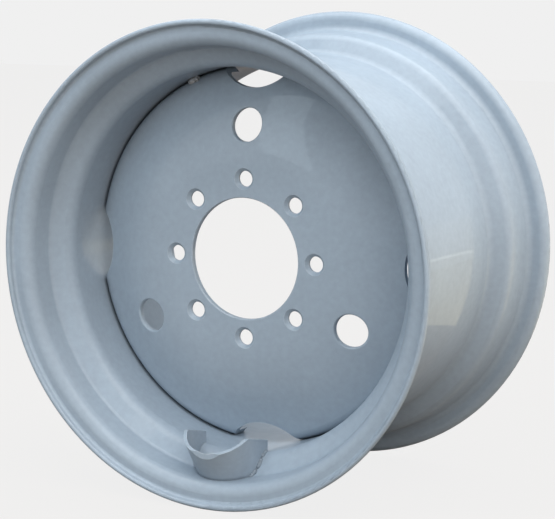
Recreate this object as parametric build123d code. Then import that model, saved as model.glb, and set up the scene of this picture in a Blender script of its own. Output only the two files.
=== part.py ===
"""Bare steel disc wheel for an implement or light truck hub, in millimetres.

A rolled drop-centre rim, a pressed disc welded into its well, and a bent guard round the valve
hole. The spin axis is Y. The front, where the nuts go on, faces -Y, and +Z is up. The origin is
on the axis, midway between the two flange edges. Angles are counted from +X towards +Z.
"""

from math import acos, ceil, cos, degrees, pi, radians, sin, tan
import os

from build123d import *

# Rim: one strip of sheet, rolled into a ring with a flange, a seat and a slope each side of a well
seat_diameter = 419.1
inside_width = 254.0
flange_height = 19.05
lip_width = 11.0
rim_sheet = 5.0
lip_radius = 8.0
heel_radius = 6.5
seat_taper = 5.0
well_depth = 21.65
front_seat_width = 27.2
front_slope_angle = 58.0
rear_seat_width = 35.0
rear_slope_angle = 60.0
toe_radius = 10.0
well_radius = 9.0

# Disc: one plate, dished towards the front, with a skirt pressed back at its edge
disc_plate = 5.5
front_inset = 72.2
hub_flat_radius = 86.0
dish_radius = 170.0
dish_angle = 20.0
shoulder_radius = 14.0
skirt_length = 12.0
skirt_gap = 0.15
centre_bore = 116.6
bore_bevel = 0.8
stud_circle = 152.4
stud_hole = 15.1
stud_count = 8
nut_seat_diameter = 21.0
nut_seat_angle = 90.0
hand_hole = 31.75
hand_hole_inset = 55.9
hand_hole_angles = (90.0, 210.6, 331.6)
hand_hole_edge = 1.6
scallop_radius = 47.5
scallop_depth = 21.3
scallop_angles = (0.0, 90.0, 180.0, 272.7)

# Valve hole through the front slope, and the guard that stands round it
valve_hole = 15.7
valve_angle = 269.5
guard_plate = 3.0
guard_bend_radius = 34.3
guard_height = 33.7
guard_lean = 33.8
guard_setback = 0.7
guard_ear_start = 27.8
guard_ear_length = 35.9
guard_ear_fall = 13.2
guard_ear_radius = 7.0

# Welds
disc_bead_radius = 4.6
disc_bead_sink = 1.2
disc_bead_margin = 2.5
guard_tack_radius = 2.4
guard_tack_length = 5.8
guard_tack_pitch = 11.6
guard_tack_count = 3
guard_tack_margin = 2.5
guard_seam_step = 2.0
front_tack_radius = 3.5
front_tack_sink = 1.0
front_tack_reach = 9.0
front_tack_length = 14.0
front_tack_angle = 113.0

# How far a cutting tool stands out past the surface that it cuts
clear_of_face = 1.0

# Worked out from the sizes above
front_edge = -inside_width / 2 - lip_width
seat_radius = seat_diameter / 2
rim_radius = seat_radius + flange_height
half_sheet = rim_sheet / 2
well_inside = seat_radius - well_depth - rim_sheet
well_middle = well_inside + half_sheet
hub_face = front_edge + front_inset
disc_middle = hub_face + disc_plate / 2
dish_corner = hub_flat_radius + dish_radius * tan(radians(dish_angle / 2))
skirt_middle = well_inside - skirt_gap - disc_plate / 2
shoulder_y = disc_middle + (skirt_middle - dish_corner) * tan(radians(dish_angle))
shoulder_bend = shoulder_radius - disc_plate / 2
skirt_start = shoulder_y + shoulder_bend * tan(radians(90 - dish_angle) / 2)
skirt_end = skirt_start + skirt_length


def turn_to(angle):
    """Turn from straight down to this angle about the spin axis."""
    return Rot(0, 270 - angle, 0)


def along_axis(radius, length, y=0.0):
    """A cylinder on the spin axis, centred at this y."""
    return Pos(0, y, 0) * Rot(90, 0, 0) * Cylinder(radius, length)


def beside(corners, bends, distance):
    """A bent line this far to the left of another, with its bends on the same centres."""
    points = [Vector(*corner) for corner in corners]
    runs = [(b - a).normalized() for a, b in zip(points, points[1:])]
    sides = [run.rotate(Axis.Z, 90) for run in runs]
    pairs = zip([sides[0], *sides], [*sides, sides[-1]])
    moved = [p + (m + n) * (distance / (1 + m.dot(n))) for p, (m, n) in zip(points, pairs)]
    turns = [1 if a.cross(b).Z > 0 else -1 for a, b in zip(runs, runs[1:])]
    return FilletPolyline(*moved, radius=[r - distance * t for r, t in zip(bends, turns)])


def sheet_section(corners, bends, thickness, round_ends=False):
    """Section of a bent sheet about its middle line."""
    left = beside(corners, bends, thickness / 2)
    right = beside(corners, bends, -thickness / 2)
    if round_ends:
        start = TangentArc(left @ 0, right @ 0, tangent=-(left % 0))
        end = TangentArc(left @ 1, right @ 1, tangent=left % 1)
    else:
        start = Line(left @ 0, right @ 0)
        end = Line(left @ 1, right @ 1)
    return make_face([*left.edges(), *end.edges(), *right.edges(), *start.edges()])


def seat_middle(inward):
    """Radius of the sheet's middle, this far inward of the tyre side of a flange."""
    at_flange = seat_radius - half_sheet / cos(radians(seat_taper))
    return at_flange - inward * tan(radians(seat_taper))


def side_corners(seat_width, slope_angle):
    """Middle line of one side of the rim, as (radius, distance from its edge), lip to well."""
    wall = lip_width - half_sheet
    seat_end = seat_middle(seat_width)
    slope_run = (seat_end - well_middle) / tan(radians(slope_angle))
    return [
        (rim_radius - half_sheet, half_sheet),
        (rim_radius - half_sheet, wall),
        (seat_middle(wall - lip_width), wall),
        (seat_end, lip_width + seat_width),
        (well_middle, lip_width + seat_width + slope_run),
    ]


def rim_line():
    """Corners and bend radii of the sheet's middle line, from the front lip to the rear lip."""
    front = [(r, front_edge + d) for r, d in side_corners(front_seat_width, front_slope_angle)]
    rear = [(r, -front_edge - d) for r, d in side_corners(rear_seat_width, rear_slope_angle)]
    bends = [
        lip_radius - half_sheet,
        heel_radius + half_sheet,
        toe_radius - half_sheet,
        well_radius + half_sheet,
    ]
    return front + rear[::-1], bends + bends[::-1]


def make_cavity():
    """All that lies inside the rim's inner face, for trimming what stands on that face."""
    corners, bends = rim_line()
    inner = beside(corners, bends, half_sheet)
    start, end = inner @ 0, inner @ 1
    closing = Polyline(start, (0, start.Y), (0, end.Y), end)
    return revolve(make_face([*inner.edges(), *closing.edges()]), Axis.Y)


def slope_middle():
    """Middle of the front slope on the sheet's middle line, as (radius, y)."""
    top, foot = side_corners(front_seat_width, front_slope_angle)[3:]
    return (top[0] + foot[0]) / 2, front_edge + (top[1] + foot[1]) / 2


def make_rim():
    ring = revolve(sheet_section(*rim_line(), rim_sheet, round_ends=True), Axis.Y)
    radius, y = slope_middle()
    tilt = radians(front_slope_angle)
    drill_plane = Plane(origin=(0, y, -radius), z_dir=(0, -sin(tilt), cos(tilt)))
    drill = drill_plane * Cylinder(valve_hole / 2, 4 * rim_sheet)
    return ring - turn_to(valve_angle) * drill


def disc_section():
    """Section of the plate from its bore to the end of its skirt, with the bore's front bevel."""
    corners = [
        (centre_bore / 2, disc_middle),
        (dish_corner, disc_middle),
        (skirt_middle, shoulder_y),
        (skirt_middle, skirt_end),
    ]
    section = sheet_section(corners, [dish_radius, shoulder_bend], disc_plate)
    bore_corner = section.vertices().sort_by_distance((centre_bore / 2, hub_face))[0]
    return chamfer(bore_corner, bore_bevel)


def make_disc(blank):
    deep = 2 * (skirt_end - hub_face)
    stud_drill = along_axis(stud_hole / 2, deep, hub_face)
    seat_slope = tan(radians(nut_seat_angle / 2))
    seat_reach = nut_seat_diameter / 2 + clear_of_face * seat_slope
    seat_depth = seat_reach / seat_slope
    seat = Rot(-90, 0, 0) * Cone(seat_reach, 0, seat_depth)
    seat = Pos(0, hub_face - clear_of_face + seat_depth / 2, 0) * seat
    cutters = []
    for i in range(stud_count):
        place = Rot(0, i * 360 / stud_count, 0) * Pos(stud_circle / 2, 0, 0)
        cutters += [place * stud_drill, place * seat]

    scallop_centre = well_inside - scallop_depth + scallop_radius
    for angle in scallop_angles:
        place = turn_to(angle) * Pos(0, 0, -scallop_centre)
        cutters.append(place * along_axis(scallop_radius, 2 * deep, hub_face))

    hand_hole_radius = well_inside - hand_hole_inset
    hand_places = [turn_to(angle) * Pos(0, 0, -hand_hole_radius) for angle in hand_hole_angles]
    cutters += [place * along_axis(hand_hole / 2, deep, hub_face) for place in hand_places]
    plate = blank - cutters

    walls = plate.faces().filter_by(GeomType.CYLINDER)
    hand_walls = [wall for wall in walls if abs(wall.radius - hand_hole / 2) < 0.01]
    fronts = []
    for wall in hand_walls:
        rims = wall.edges().filter_by(lambda edge: edge.length > hand_hole)
        fronts.append(rims.sort_by(Axis.Y)[0])
    return fillet(fronts, hand_hole_edge)


def guard_frame():
    """Plane on the guard's leaning top edge: its Z runs up the wall and its Y back to the ears."""
    lean = radians(guard_lean)
    foot_y = front_edge + lip_width + heel_radius + guard_setback
    foot_radius = seat_middle(heel_radius + guard_setback) - half_sheet
    nose = (0, foot_y - guard_height * sin(lean), guard_height * cos(lean) - foot_radius)
    return Plane(origin=nose, x_dir=(1, 0, 0), z_dir=(0, -sin(lean), cos(lean)))


def guard_ear(frame):
    """Start and end of an ear's falling top edge, on the guard's middle plane."""
    fall = radians(guard_ear_fall)
    start = frame.from_local_coords(Vector(0, guard_ear_start, 0))
    return start, start + Vector(0, cos(fall), -sin(fall)) * guard_ear_length


def make_guard(inside):
    """Half-round scoop that leans forward, with ears that run back beside the valve."""
    frame = guard_frame()
    outer_radius = guard_bend_radius + guard_plate / 2
    inner_radius = guard_bend_radius - guard_plate / 2
    leg = guard_ear_length + guard_bend_radius
    outer = Circle(outer_radius) + Pos(0, leg / 2, 0) * Rectangle(2 * outer_radius, leg)
    inner = Circle(inner_radius) + Pos(0, leg, 0) * Rectangle(2 * inner_radius, 2 * leg)
    bent = extrude(frame * (Pos(0, outer_radius, 0) * (outer - inner)), 2 * guard_height, both=True)

    ear, tip = guard_ear(frame)
    before = frame.from_local_coords(Vector(0, -guard_height, 0))
    side = FilletPolyline(
        (before.Y, before.Z),
        (ear.Y, ear.Z),
        (tip.Y, tip.Z),
        (tip.Y, -rim_radius),
        (before.Y, -rim_radius),
        radius=[0, guard_ear_radius, 0, 0, 0],
        close=True,
    )
    sides = extrude(Plane.YZ * make_face(side.edges()), 2 * guard_bend_radius, both=True)
    return bent & sides & inside


def guard_seam(inside):
    """Outer foot of the guard on the rim, from its nose to the end of the right ear."""
    frame = guard_frame()
    outer_radius = guard_bend_radius + guard_plate / 2
    quarter = pi / 2 * outer_radius
    feet = []
    for i in range(ceil((quarter + 2 * guard_ear_length) / guard_seam_step)):
        run = i * guard_seam_step
        turn = min(run, quarter) / outer_radius
        across = outer_radius * sin(turn)
        back = outer_radius * (1 - cos(turn)) + max(run - quarter, 0)
        top = frame.from_local_coords(Vector(across, back, 0))
        wall = Edge.make_line(top, top - frame.z_dir * 2 * guard_height) & inside
        feet.append(max(wall.vertices(), key=lambda end: (end.center() - top).length).center())
    return Polyline(*[foot for foot in feet if foot.Y < guard_ear(frame)[1].Y])


def bead_along(points, radius):
    """A weld bead with round ends through these points."""
    bead = Pos(points[0]) * Sphere(radius)
    for start, end in zip(points, points[1:]):
        run = Plane(origin=(start + end) / 2, z_dir=end - start)
        bead += run * Cylinder(radius, (end - start).length)
        bead += Pos(end) * Sphere(radius)
    return bead


def make_guard_tacks(guard, inside):
    """Short welds along the outer foot of each leg, by name, from the ear's end forwards."""
    seam = guard_seam(inside)
    tacks = {}
    for i in range(guard_tack_count):
        end = seam.length - guard_tack_margin - i * guard_tack_pitch
        stops = [end - guard_tack_length * part for part in (0, 0.5, 1)]
        points = [seam.position_at(stop, position_mode=PositionMode.LENGTH) for stop in stops]
        right = bead_along(points, guard_tack_radius) & inside - guard
        tacks[f"guard_weld_right_{i + 1}"] = right
        tacks[f"guard_weld_left_{i + 1}"] = right.mirror(Plane.YZ)
    return tacks


def ring_bead(bead_radius, ring_radius, y, start, end):
    """A weld bead with round ends on a ring round the spin axis, from one angle to another."""
    section_place = Pos(ring_radius, y, 0)
    bead = revolve(section_place * Circle(bead_radius), Axis.Y, end - start)
    for angle in (0, end - start):
        bead += Rot(0, angle, 0) * section_place * Sphere(bead_radius)
    return Rot(0, -end, 0) * bead


def make_disc_welds():
    """Beads between the skirt's end and the well, one on each stretch between two scallops."""
    ring_radius = well_inside - disc_bead_sink
    y = skirt_end + disc_bead_sink
    room = along_axis(well_inside, 4 * disc_bead_radius, skirt_end + 2 * disc_bead_radius)
    centre = well_inside - scallop_depth + scallop_radius
    cosine = (well_inside**2 + centre**2 - scallop_radius**2) / (2 * well_inside * centre)
    inset = degrees(acos(cosine) + (disc_bead_margin + disc_bead_radius) / well_inside)
    ends = zip(scallop_angles, [*scallop_angles[1:], scallop_angles[0] + 360])
    beads = [ring_bead(disc_bead_radius, ring_radius, y, a + inset, b - inset) for a, b in ends]
    return [bead & room for bead in beads]


def make_front_tack(blank, inside):
    """One short weld in the crevice in front of the disc's edge."""
    ring_radius = well_inside - front_tack_radius + front_tack_sink
    y = skirt_start - front_tack_reach
    half = degrees((front_tack_length / 2 - front_tack_radius) / ring_radius)
    ends = front_tack_angle - half, front_tack_angle + half
    return ring_bead(front_tack_radius, ring_radius, y, *ends) & inside - blank


def save(name, shape):
    solids = shape.solids()
    body = solids[0] if len(solids) == 1 else Compound(children=list(solids))
    export_step(body, f"parts/{name}.step")


def main():
    os.makedirs("parts", exist_ok=True)
    inside = make_cavity()
    blank = revolve(disc_section(), Axis.Y)
    guard = make_guard(inside)
    save("rim", make_rim())
    save("disc", make_disc(blank))
    save("valve_guard", turn_to(valve_angle) * guard)
    for i, weld in enumerate(make_disc_welds()):
        save(f"disc_weld_{i + 1}", weld)
    for name, tack in make_guard_tacks(guard, inside).items():
        save(name, turn_to(valve_angle) * tack)
    save("front_tack_weld", make_front_tack(blank, inside))


main()
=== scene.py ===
"""Looks of the bare steel disc wheel: a studio view of the painted rim, disc, valve guard and welds.

Lengths are metres. The spin axis is Y, the front faces -Y and +Z is up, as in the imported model.
"""

from math import cos, pi, radians, sin

import bpy
from mathutils import Matrix, Vector


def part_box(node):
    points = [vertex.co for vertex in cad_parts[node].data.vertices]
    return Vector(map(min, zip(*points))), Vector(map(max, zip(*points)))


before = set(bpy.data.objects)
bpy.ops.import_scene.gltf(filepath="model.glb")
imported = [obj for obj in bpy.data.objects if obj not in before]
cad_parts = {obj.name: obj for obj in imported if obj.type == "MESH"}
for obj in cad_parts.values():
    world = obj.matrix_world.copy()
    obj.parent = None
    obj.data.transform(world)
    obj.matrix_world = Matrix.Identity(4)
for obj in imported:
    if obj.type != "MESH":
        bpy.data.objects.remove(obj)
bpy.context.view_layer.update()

# Camera: where the photograph was taken from, and its lens for a picture this many pixels wide
camera_place = (0.986, -1.7145, 0.288)
camera_ahead = (-0.4935, 0.8570, -0.1486)
image_width = 555
focal_pixels = 2044.3
sensor_width = 36.0
sight_range = 50.0

# Stage
backdrop_grey = 0.871
floor_size = 12.0
floor_colour = (0.18, 0.15, 0.125)
floor_glow = 0.95
floor_glow_share = 0.88
floor_roughness = 0.9
floor_gloss = 0.1

# Lamps: place, size, power in watts and colour
overhead_place = (0.3, -0.4, 3.0)
overhead_size = (5.0, 5.0)
overhead_power = 180
window_place = (-1.1, -2.85, 1.15)
window_size = (0.7, 1.6)
window_power = 10
window_colour = (0.75, 0.9, 1.0)

# Light of the dome, from the front, from the right and from behind
dome_sides = {
    (0, -1, 0): (1.12, 1.17, 1.21),
    (1, 0, 0): (2.36, 2.03, 1.74),
    (0, 1, 0): (0.42, 0.70, 0.92),
}

# Glowing boards behind the wheel on its right, which light nothing and which only the gloss shows,
# as painted reflections; turned by this many degrees from +Y towards +X; their glow is a colour and
# a strength
board_turn = 27.8
board_corner = (0.25, 0.40)
board_length = 1.8
board_width = 1.2
board_top = 0.17
board_foot = 0.02
board_lift = 0.001
floor_board_glow = ((1.0, 0.88, 0.58), 1.65)
foot_board_glow = ((1.0, 0.98, 0.85), 3.4)
back_board_glow = ((1.0, 0.95, 0.82), 1.35)

# Paint
paint_colour = (0.275, 0.345, 0.42)
paint_roughness = 0.45
paint_gloss = 0.25
coat_weight = 0.32
coat_roughness = 0.03
smooth_angle = 30.0

# Part of a noise's values that the paint spreads over its range, from low to high
noise_low = 0.25
noise_high = 0.75

# Orange peel: size of its grains, and how deep the bump is
peel_grain = 0.0045
peel_depth = 0.00002
wave_grain = 0.02
wave_depth = 0.00008

# Uneven coat: wide clouds, a fine mottle, and patches of more or less gloss
cloud_size = 0.11
cloud_share = 0.07
mottle_size = 0.006
mottle_share = 0.05
gloss_patch_size = cloud_size / 3
roughness_share = 0.18

# Painted shade in the crevices: the paint is darkened where gaps and corners close in
shade_reach = 0.004
shade_open = 0.72
painted_shade_tone = 0.36
shade_samples = 8

# Painted highlight along sharp edges, and paint worn thin there: edges lightened towards a pale
# colour
edge_reach = 0.0012
edge_samples = 4
edge_bend = 0.12
edge_highlight_share = 0.6
weld_edge_highlight_share = 0.1
edge_highlight_colour = (0.50, 0.58, 0.65)
edge_least_highlight = 0.4
edge_noise_low = 0.35
edge_noise_high = 0.6

# Weld beads
weld_radius = 0.203
ripple_pitch = 0.0024
ripple_depth = 0.00015
shake_size = 2 * ripple_pitch
shake_reach = 1.5 * ripple_pitch
# Painted shade: the paint on the beads is a darker copy of the sheet's paint
shaded_weld_colour = (0.20, 0.25, 0.305)
bare_steel = (0.50, 0.55, 0.60)
burnt_steel = (0.16, 0.17, 0.18)
bare_metal = 0.6
bare_roughness = 0.34
burnt_size = 0.003
burnt_low = 0.5
burnt_high = 0.75


def deselect_all():
    for item in bpy.context.selected_objects:
        item.select_set(False)


def activate(item):
    deselect_all()
    item.select_set(True)
    bpy.context.view_layer.objects.active = item


def add_camera():
    data = bpy.data.cameras.new("photo_camera")
    data.sensor_width = sensor_width
    data.lens = focal_pixels / image_width * sensor_width
    data.clip_end = sight_range
    camera = bpy.data.objects.new("photo_camera", data)
    camera.location = camera_place
    camera.rotation_euler = Vector(camera_ahead).to_track_quat("-Z", "Y").to_euler()
    bpy.context.scene.collection.objects.link(camera)
    bpy.context.scene.camera = camera


def add_light(name, place, size, power, colour=(1, 1, 1)):
    """A soft lamp that points at the wheel's centre."""
    data = bpy.data.lights.new(name, "AREA")
    data.shape = "RECTANGLE"
    data.size, data.size_y = size
    data.energy = power
    data.color = colour
    light = bpy.data.objects.new(name, data)
    light.location = place
    light.rotation_euler = (-Vector(place)).to_track_quat("-Z", "Y").to_euler()
    bpy.context.scene.collection.objects.link(light)


def side_glow(nodes, links, view, side, colour):
    """Light from one side of the dome, which fades to nothing square to that side."""
    facing = nodes.new("ShaderNodeVectorMath")
    facing.operation = "DOT_PRODUCT"
    facing.inputs[1].default_value = side
    links.new(view, facing.inputs[0])
    share = nodes.new("ShaderNodeClamp")
    links.new(facing.outputs["Value"], share.inputs["Value"])
    glow = nodes.new("ShaderNodeVectorMath")
    glow.operation = "SCALE"
    glow.inputs[0].default_value = colour
    links.new(share.outputs[0], glow.inputs["Scale"])
    return glow.outputs["Vector"]


def set_world():
    """A soft dome of light, and a plain backdrop that the camera and the gloss see."""
    world = bpy.data.worlds.new("studio_world")
    bpy.context.scene.world = world
    world.use_nodes = True
    nodes, links = world.node_tree.nodes, world.node_tree.links
    nodes.clear()
    backdrop = nodes.new("ShaderNodeBackground")
    backdrop.inputs["Color"].default_value = (backdrop_grey,) * 3 + (1,)
    view = nodes.new("ShaderNodeTexCoord").outputs["Generated"]
    light = None
    for side, colour in dome_sides.items():
        glow = side_glow(nodes, links, view, side, colour)
        if light is not None:
            both = nodes.new("ShaderNodeVectorMath")
            links.new(light, both.inputs[0])
            links.new(glow, both.inputs[1])
            glow = both.outputs["Vector"]
        light = glow
    dome = nodes.new("ShaderNodeBackground")
    links.new(light, dome.inputs["Color"])
    mix = nodes.new("ShaderNodeMixShader")
    out = nodes.new("ShaderNodeOutputWorld")
    seen = seen_by(nodes, links, "Is Camera Ray", "Is Glossy Ray", "Is Transmission Ray")
    links.new(seen, mix.inputs["Fac"])
    links.new(dome.outputs[0], mix.inputs[1])
    links.new(backdrop.outputs[0], mix.inputs[2])
    links.new(mix.outputs[0], out.inputs["Surface"])


def seen_by(nodes, links, *rays):
    """A factor that is 1 on rays of any of these kinds."""
    paths = nodes.new("ShaderNodeLightPath")
    either = paths.outputs[rays[0]]
    for ray in rays[1:]:
        larger = nodes.new("ShaderNodeMath")
        larger.operation = "MAXIMUM"
        links.new(either, larger.inputs[0])
        links.new(paths.outputs[ray], larger.inputs[1])
        either = larger.outputs[0]
    return either


def lowest_point():
    return min(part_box(name)[0].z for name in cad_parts)


def add_floor():
    deselect_all()
    bpy.ops.mesh.primitive_plane_add(size=floor_size, location=(0, 0, lowest_point()))
    floor = bpy.context.object
    floor.name = "floor"
    bpy.ops.object.transform_apply(location=True)
    material = bpy.data.materials.new("floor_paper")
    material.use_nodes = True
    nodes, links = material.node_tree.nodes, material.node_tree.links
    paper = nodes["Principled BSDF"]
    paper.inputs["Base Color"].default_value = floor_colour + (1,)
    paper.inputs["Roughness"].default_value = floor_roughness
    paper.inputs["Specular IOR Level"].default_value = floor_gloss
    glow = nodes.new("ShaderNodeEmission")
    glow.inputs["Color"].default_value = (floor_glow,) * 3 + (1,)
    share = nodes.new("ShaderNodeMath")
    share.operation = "MULTIPLY"
    share.inputs[1].default_value = floor_glow_share
    links.new(seen_by(nodes, links, "Is Camera Ray", "Is Transmission Ray"), share.inputs[0])
    mix = nodes.new("ShaderNodeMixShader")
    links.new(share.outputs[0], mix.inputs["Fac"])
    links.new(paper.outputs[0], mix.inputs[1])
    links.new(glow.outputs[0], mix.inputs[2])
    links.new(mix.outputs[0], nodes["Material Output"].inputs["Surface"])
    floor.data.materials.append(material)


def add_board(name, corner, along, across, colour, strength):
    """A bright board that only the gloss of the wheel shows, spanned by two edges from a corner."""
    deselect_all()
    bpy.ops.mesh.primitive_plane_add(size=1)
    board = bpy.context.object
    board.name = name
    corner, along, across = Vector(corner), Vector(along), Vector(across)
    turn = Matrix((along, across, along.cross(across).normalized())).transposed().to_4x4()
    board.matrix_world = Matrix.Translation(corner + (along + across) / 2) @ turn
    bpy.ops.object.transform_apply(location=True, rotation=True, scale=True)
    material = bpy.data.materials.new(name)
    material.use_nodes = True
    nodes, links = material.node_tree.nodes, material.node_tree.links
    glow = nodes.new("ShaderNodeEmission")
    glow.inputs["Color"].default_value = colour + (1,)
    glow.inputs["Strength"].default_value = strength
    links.new(glow.outputs[0], nodes["Material Output"].inputs["Surface"])
    board.data.materials.append(material)
    board.visible_camera = False
    board.visible_diffuse = False
    board.visible_transmission = False
    board.visible_shadow = False


def add_boards():
    """Painted reflections: a glowing strip like bright floor that runs back on the right, and two
    glowing boards at its far end.
    """
    low = lowest_point() + board_lift
    turn = radians(board_turn)
    back = Vector((sin(turn), cos(turn), 0))
    right = Vector((cos(turn), -sin(turn), 0))
    near = Vector((*board_corner, low))
    far = near + back * board_length
    foot = far + Vector((0, 0, board_foot))
    rise = Vector((0, 0, board_top - foot.z))
    width = right * board_width
    add_board("floor_board", near, width, back * board_length, *floor_board_glow)
    add_board("foot_board", far, width, (0, 0, board_foot), *foot_board_glow)
    add_board("back_board", foot, width, rise, *back_board_glow)


def new_group(name, takes, gives):
    """An empty node group with these inputs (name: kind, value) and outputs (name: kind)."""
    group = bpy.data.node_groups.new(name, "ShaderNodeTree")
    for socket, (kind, value) in takes.items():
        made = group.interface.new_socket(socket, in_out="INPUT", socket_type=kind)
        if value is not None:
            made.default_value = value
    for socket, kind in gives.items():
        group.interface.new_socket(socket, in_out="OUTPUT", socket_type=kind)
    inputs = group.nodes.new("NodeGroupInput")
    outputs = group.nodes.new("NodeGroupOutput")
    return group, inputs, outputs


def use_group(nodes, tree):
    node = nodes.new("ShaderNodeGroup")
    node.node_tree = tree
    return node


def noise_on_object(group, grain, detail):
    """Noise on Object coordinates, with grains of this size in metres."""
    place = group.nodes.new("ShaderNodeTexCoord")
    noise = group.nodes.new("ShaderNodeTexNoise")
    noise.inputs["Scale"].default_value = 1 / grain
    noise.inputs["Detail"].default_value = detail
    group.links.new(place.outputs["Object"], noise.inputs["Vector"])
    return noise.outputs["Fac"]


def to_range(group, value, low, high, from_low=0.0, from_high=1.0):
    """The value, moved from the range (from_low, from_high) to (low, high) and kept inside it."""
    spread = group.nodes.new("ShaderNodeMapRange")
    spread.inputs["From Min"].default_value = from_low
    spread.inputs["From Max"].default_value = from_high
    spread.inputs["To Min"].default_value = low
    spread.inputs["To Max"].default_value = high
    group.links.new(value, spread.inputs["Value"])
    return spread.outputs["Result"]


def even_spread(group, noise, share):
    """A factor about 1 that the noise moves up and down by this share."""
    return to_range(group, noise, 1 - share, 1 + share, noise_low, noise_high)


def calculate(group, operation, first, second=0.0):
    """A Math node; the second operand is a socket or a number."""
    maths = group.nodes.new("ShaderNodeMath")
    maths.operation = operation
    group.links.new(first, maths.inputs[0])
    if isinstance(second, float):
        maths.inputs[1].default_value = second
    else:
        group.links.new(second, maths.inputs[1])
    return maths.outputs[0]


def orange_peel_group():
    """Normal of sprayed paint: fine grains over slow waves."""
    takes = {
        "Wave depth": ("NodeSocketFloat", wave_depth),
        "Grain depth": ("NodeSocketFloat", peel_depth),
    }
    group, inputs, outputs = new_group("orange_peel", takes, {"Normal": "NodeSocketVector"})
    normal = None
    for depth, grain in (("Wave depth", wave_grain), ("Grain depth", peel_grain)):
        bump = group.nodes.new("ShaderNodeBump")
        group.links.new(inputs.outputs[depth], bump.inputs["Distance"])
        group.links.new(noise_on_object(group, grain, detail=1.0), bump.inputs["Height"])
        if normal is not None:
            group.links.new(normal, bump.inputs["Normal"])
        normal = bump.outputs["Normal"]
    group.links.new(normal, outputs.inputs["Normal"])
    return group


def painted_shade_group():
    """A mask for painted shade: 0 deep in a gap or a corner and 1 on open paint."""
    group, _, outputs = new_group("crevice", {}, {"Open": "NodeSocketFloat"})
    nearby = group.nodes.new("ShaderNodeAmbientOcclusion")
    nearby.samples = shade_samples
    nearby.inputs["Distance"].default_value = shade_reach
    open_share = to_range(group, nearby.outputs["AO"], 0.0, 1.0, 0.0, shade_open)
    group.links.new(open_share, outputs.inputs["Open"])
    return group


def edge_highlight_group():
    """A mask that is 1 along sharp edges, broken up by a fine noise, for the painted edge highlight
    and wear.
    """
    group, _, outputs = new_group("edge_highlight_and_wear", {}, {"Edge": "NodeSocketFloat"})
    rounded = group.nodes.new("ShaderNodeBevel")
    rounded.samples = edge_samples
    rounded.inputs["Radius"].default_value = edge_reach
    surface = group.nodes.new("ShaderNodeNewGeometry")
    along = group.nodes.new("ShaderNodeVectorMath")
    along.operation = "DOT_PRODUCT"
    group.links.new(rounded.outputs["Normal"], along.inputs[0])
    group.links.new(surface.outputs["Normal"], along.inputs[1])
    bend = to_range(group, along.outputs["Value"], 1.0, 0.0, 1.0 - edge_bend, 1.0)
    mottle = noise_on_object(group, mottle_size, detail=2.0)
    edge_lightening = to_range(group, mottle, edge_least_highlight, 1.0, edge_noise_low, edge_noise_high)
    group.links.new(calculate(group, "MULTIPLY", bend, edge_lightening), outputs.inputs["Edge"])
    return group


def coat_group(crevice, edge_highlight_and_wear):
    """Colour and roughness of the coat: clouds, mottle, painted shade in the gaps, and edges
    lightened as painted highlight and wear.
    """
    takes = {
        "Color": ("NodeSocketColor", None),
        "Roughness": ("NodeSocketFloat", paint_roughness),
        "Edge share": ("NodeSocketFloat", edge_highlight_share),
    }
    gives = {"Color": "NodeSocketColor", "Roughness": "NodeSocketFloat"}
    group, inputs, outputs = new_group("uneven_coat", takes, gives)
    clouds = noise_on_object(group, cloud_size, detail=2.0)
    cloud = even_spread(group, clouds, cloud_share)
    specks = noise_on_object(group, mottle_size, detail=3.0)
    mottle = even_spread(group, specks, mottle_share)
    tone = calculate(group, "MULTIPLY", cloud, mottle)
    # Painted shade: the colour is darkened deep in gaps and corners
    gap = use_group(group.nodes, crevice)
    painted_shade = to_range(group, gap.outputs["Open"], painted_shade_tone, 1.0)
    tone = calculate(group, "MULTIPLY", tone, painted_shade)
    toned = group.nodes.new("ShaderNodeVectorMath")
    toned.operation = "SCALE"
    group.links.new(inputs.outputs["Color"], toned.inputs[0])
    group.links.new(tone, toned.inputs["Scale"])
    edge = use_group(group.nodes, edge_highlight_and_wear)
    # Painted highlight and wear: sharp edges lightened towards a pale colour
    mix = group.nodes.new("ShaderNodeMix")
    mix.data_type = "RGBA"
    mix.inputs["B"].default_value = edge_highlight_colour + (1,)
    edge_lightening = calculate(group, "MULTIPLY", edge.outputs["Edge"], inputs.outputs["Edge share"])
    group.links.new(edge_lightening, mix.inputs["Factor"])
    group.links.new(toned.outputs["Vector"], mix.inputs["A"])
    group.links.new(mix.outputs["Result"], outputs.inputs["Color"])
    patches = noise_on_object(group, gloss_patch_size, detail=3.0)
    uneven = even_spread(group, patches, roughness_share)
    rough = calculate(group, "MULTIPLY", inputs.outputs["Roughness"], uneven)
    group.links.new(rough, outputs.inputs["Roughness"])
    return group


def ripple_group():
    """Normal of a weld bead: ripples along the seam, over the normal that comes in."""
    takes = {"Normal": ("NodeSocketVector", None), "Depth": ("NodeSocketFloat", ripple_depth)}
    group, inputs, outputs = new_group("weld_ripples", takes, {"Normal": "NodeSocketVector"})
    place = group.nodes.new("ShaderNodeTexCoord")
    parts = group.nodes.new("ShaderNodeSeparateXYZ")
    group.links.new(place.outputs["Object"], parts.inputs[0])
    angle = calculate(group, "ARCTAN2", parts.outputs["Z"], parts.outputs["X"])
    along = calculate(group, "MULTIPLY", angle, weld_radius)
    along = calculate(group, "ADD", along, parts.outputs["Y"])
    shake = to_range(group, noise_on_object(group, shake_size, detail=1.0), 0.0, shake_reach)
    along = calculate(group, "ADD", along, shake)
    turns = calculate(group, "MULTIPLY", along, 2 * pi / ripple_pitch)
    height = calculate(group, "SINE", turns)
    bump = group.nodes.new("ShaderNodeBump")
    group.links.new(inputs.outputs["Depth"], bump.inputs["Distance"])
    group.links.new(height, bump.inputs["Height"])
    group.links.new(inputs.outputs["Normal"], bump.inputs["Normal"])
    group.links.new(bump.outputs["Normal"], outputs.inputs["Normal"])
    return group


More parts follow.
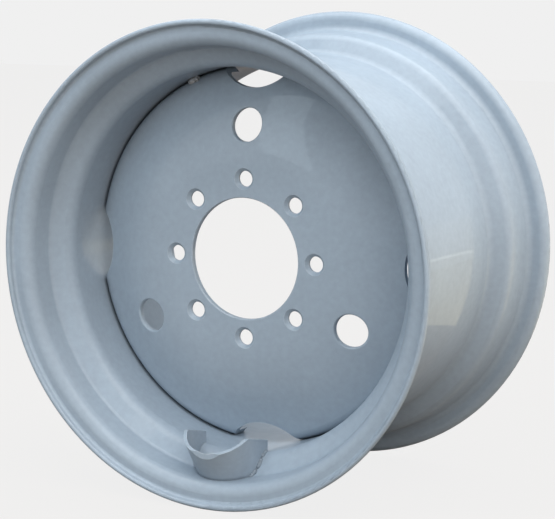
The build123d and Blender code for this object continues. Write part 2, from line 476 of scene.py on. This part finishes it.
def painted_material(name, colour, coat, peel, ripples=None):
    """Semi-gloss paint, over smooth sheet or, with ripples, over a weld bead."""
    material = bpy.data.materials.new(name)
    material.use_nodes = True
    nodes, links = material.node_tree.nodes, material.node_tree.links
    surface = nodes["Principled BSDF"]
    surface.inputs["Specular IOR Level"].default_value = paint_gloss
    surface.inputs["Coat Weight"].default_value = coat_weight
    surface.inputs["Coat Roughness"].default_value = coat_roughness
    shade = use_group(nodes, coat)
    shade.inputs["Color"].default_value = colour + (1,)
    shade.inputs["Roughness"].default_value = paint_roughness
    shade.inputs["Edge share"].default_value = edge_highlight_share if ripples is None else weld_edge_highlight_share
    links.new(shade.outputs["Color"], surface.inputs["Base Color"])
    links.new(shade.outputs["Roughness"], surface.inputs["Roughness"])
    normal = use_group(nodes, peel).outputs["Normal"]
    if ripples is not None:
        bead = use_group(nodes, ripples)
        links.new(normal, bead.inputs["Normal"])
        normal = bead.outputs["Normal"]
    links.new(normal, surface.inputs["Normal"])
    return material


def bare_weld_material(peel, ripples):
    """The bare, silvery tack in the front crevice, with burnt spots."""
    material = bpy.data.materials.new("bare_weld")
    material.use_nodes = True
    tree = material.node_tree
    nodes, links = tree.nodes, tree.links
    surface = nodes["Principled BSDF"]
    surface.inputs["Metallic"].default_value = bare_metal
    spots = noise_on_object(tree, burnt_size, detail=2.0)
    burnt = to_range(tree, spots, 0.0, 1.0, burnt_low, burnt_high)
    mix = nodes.new("ShaderNodeMix")
    mix.data_type = "RGBA"
    mix.inputs["A"].default_value = bare_steel + (1,)
    mix.inputs["B"].default_value = burnt_steel + (1,)
    links.new(burnt, mix.inputs["Factor"])
    links.new(mix.outputs["Result"], surface.inputs["Base Color"])
    rough = to_range(tree, burnt, bare_roughness, 2 * bare_roughness)
    links.new(rough, surface.inputs["Roughness"])
    bead = use_group(nodes, ripples)
    links.new(use_group(nodes, peel).outputs["Normal"], bead.inputs["Normal"])
    links.new(bead.outputs["Normal"], surface.inputs["Normal"])
    return material


add_camera()
set_world()
add_floor()
add_light("overhead_softbox", overhead_place, overhead_size, overhead_power)
add_light("window_softbox", window_place, window_size, window_power, window_colour)
add_boards()

peel = orange_peel_group()
ripples = ripple_group()
coat = coat_group(painted_shade_group(), edge_highlight_group())
sheet_paint = painted_material("wheel_paint", paint_colour, coat, peel)
# Painted shade: the weld beads get a darker copy of the paint
shaded_weld_paint = painted_material("painted_weld", shaded_weld_colour, coat, peel, ripples)
bare_weld = bare_weld_material(peel, ripples)
for name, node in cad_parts.items():
    finish = shaded_weld_paint if "weld" in name else sheet_paint
    if name == "front_tack_weld":
        finish = bare_weld
    node.data.materials.clear()
    node.data.materials.append(finish)
    activate(node)
    bpy.ops.object.shade_smooth_by_angle(angle=radians(smooth_angle))

bpy.context.scene.view_settings.view_transform = "Standard"
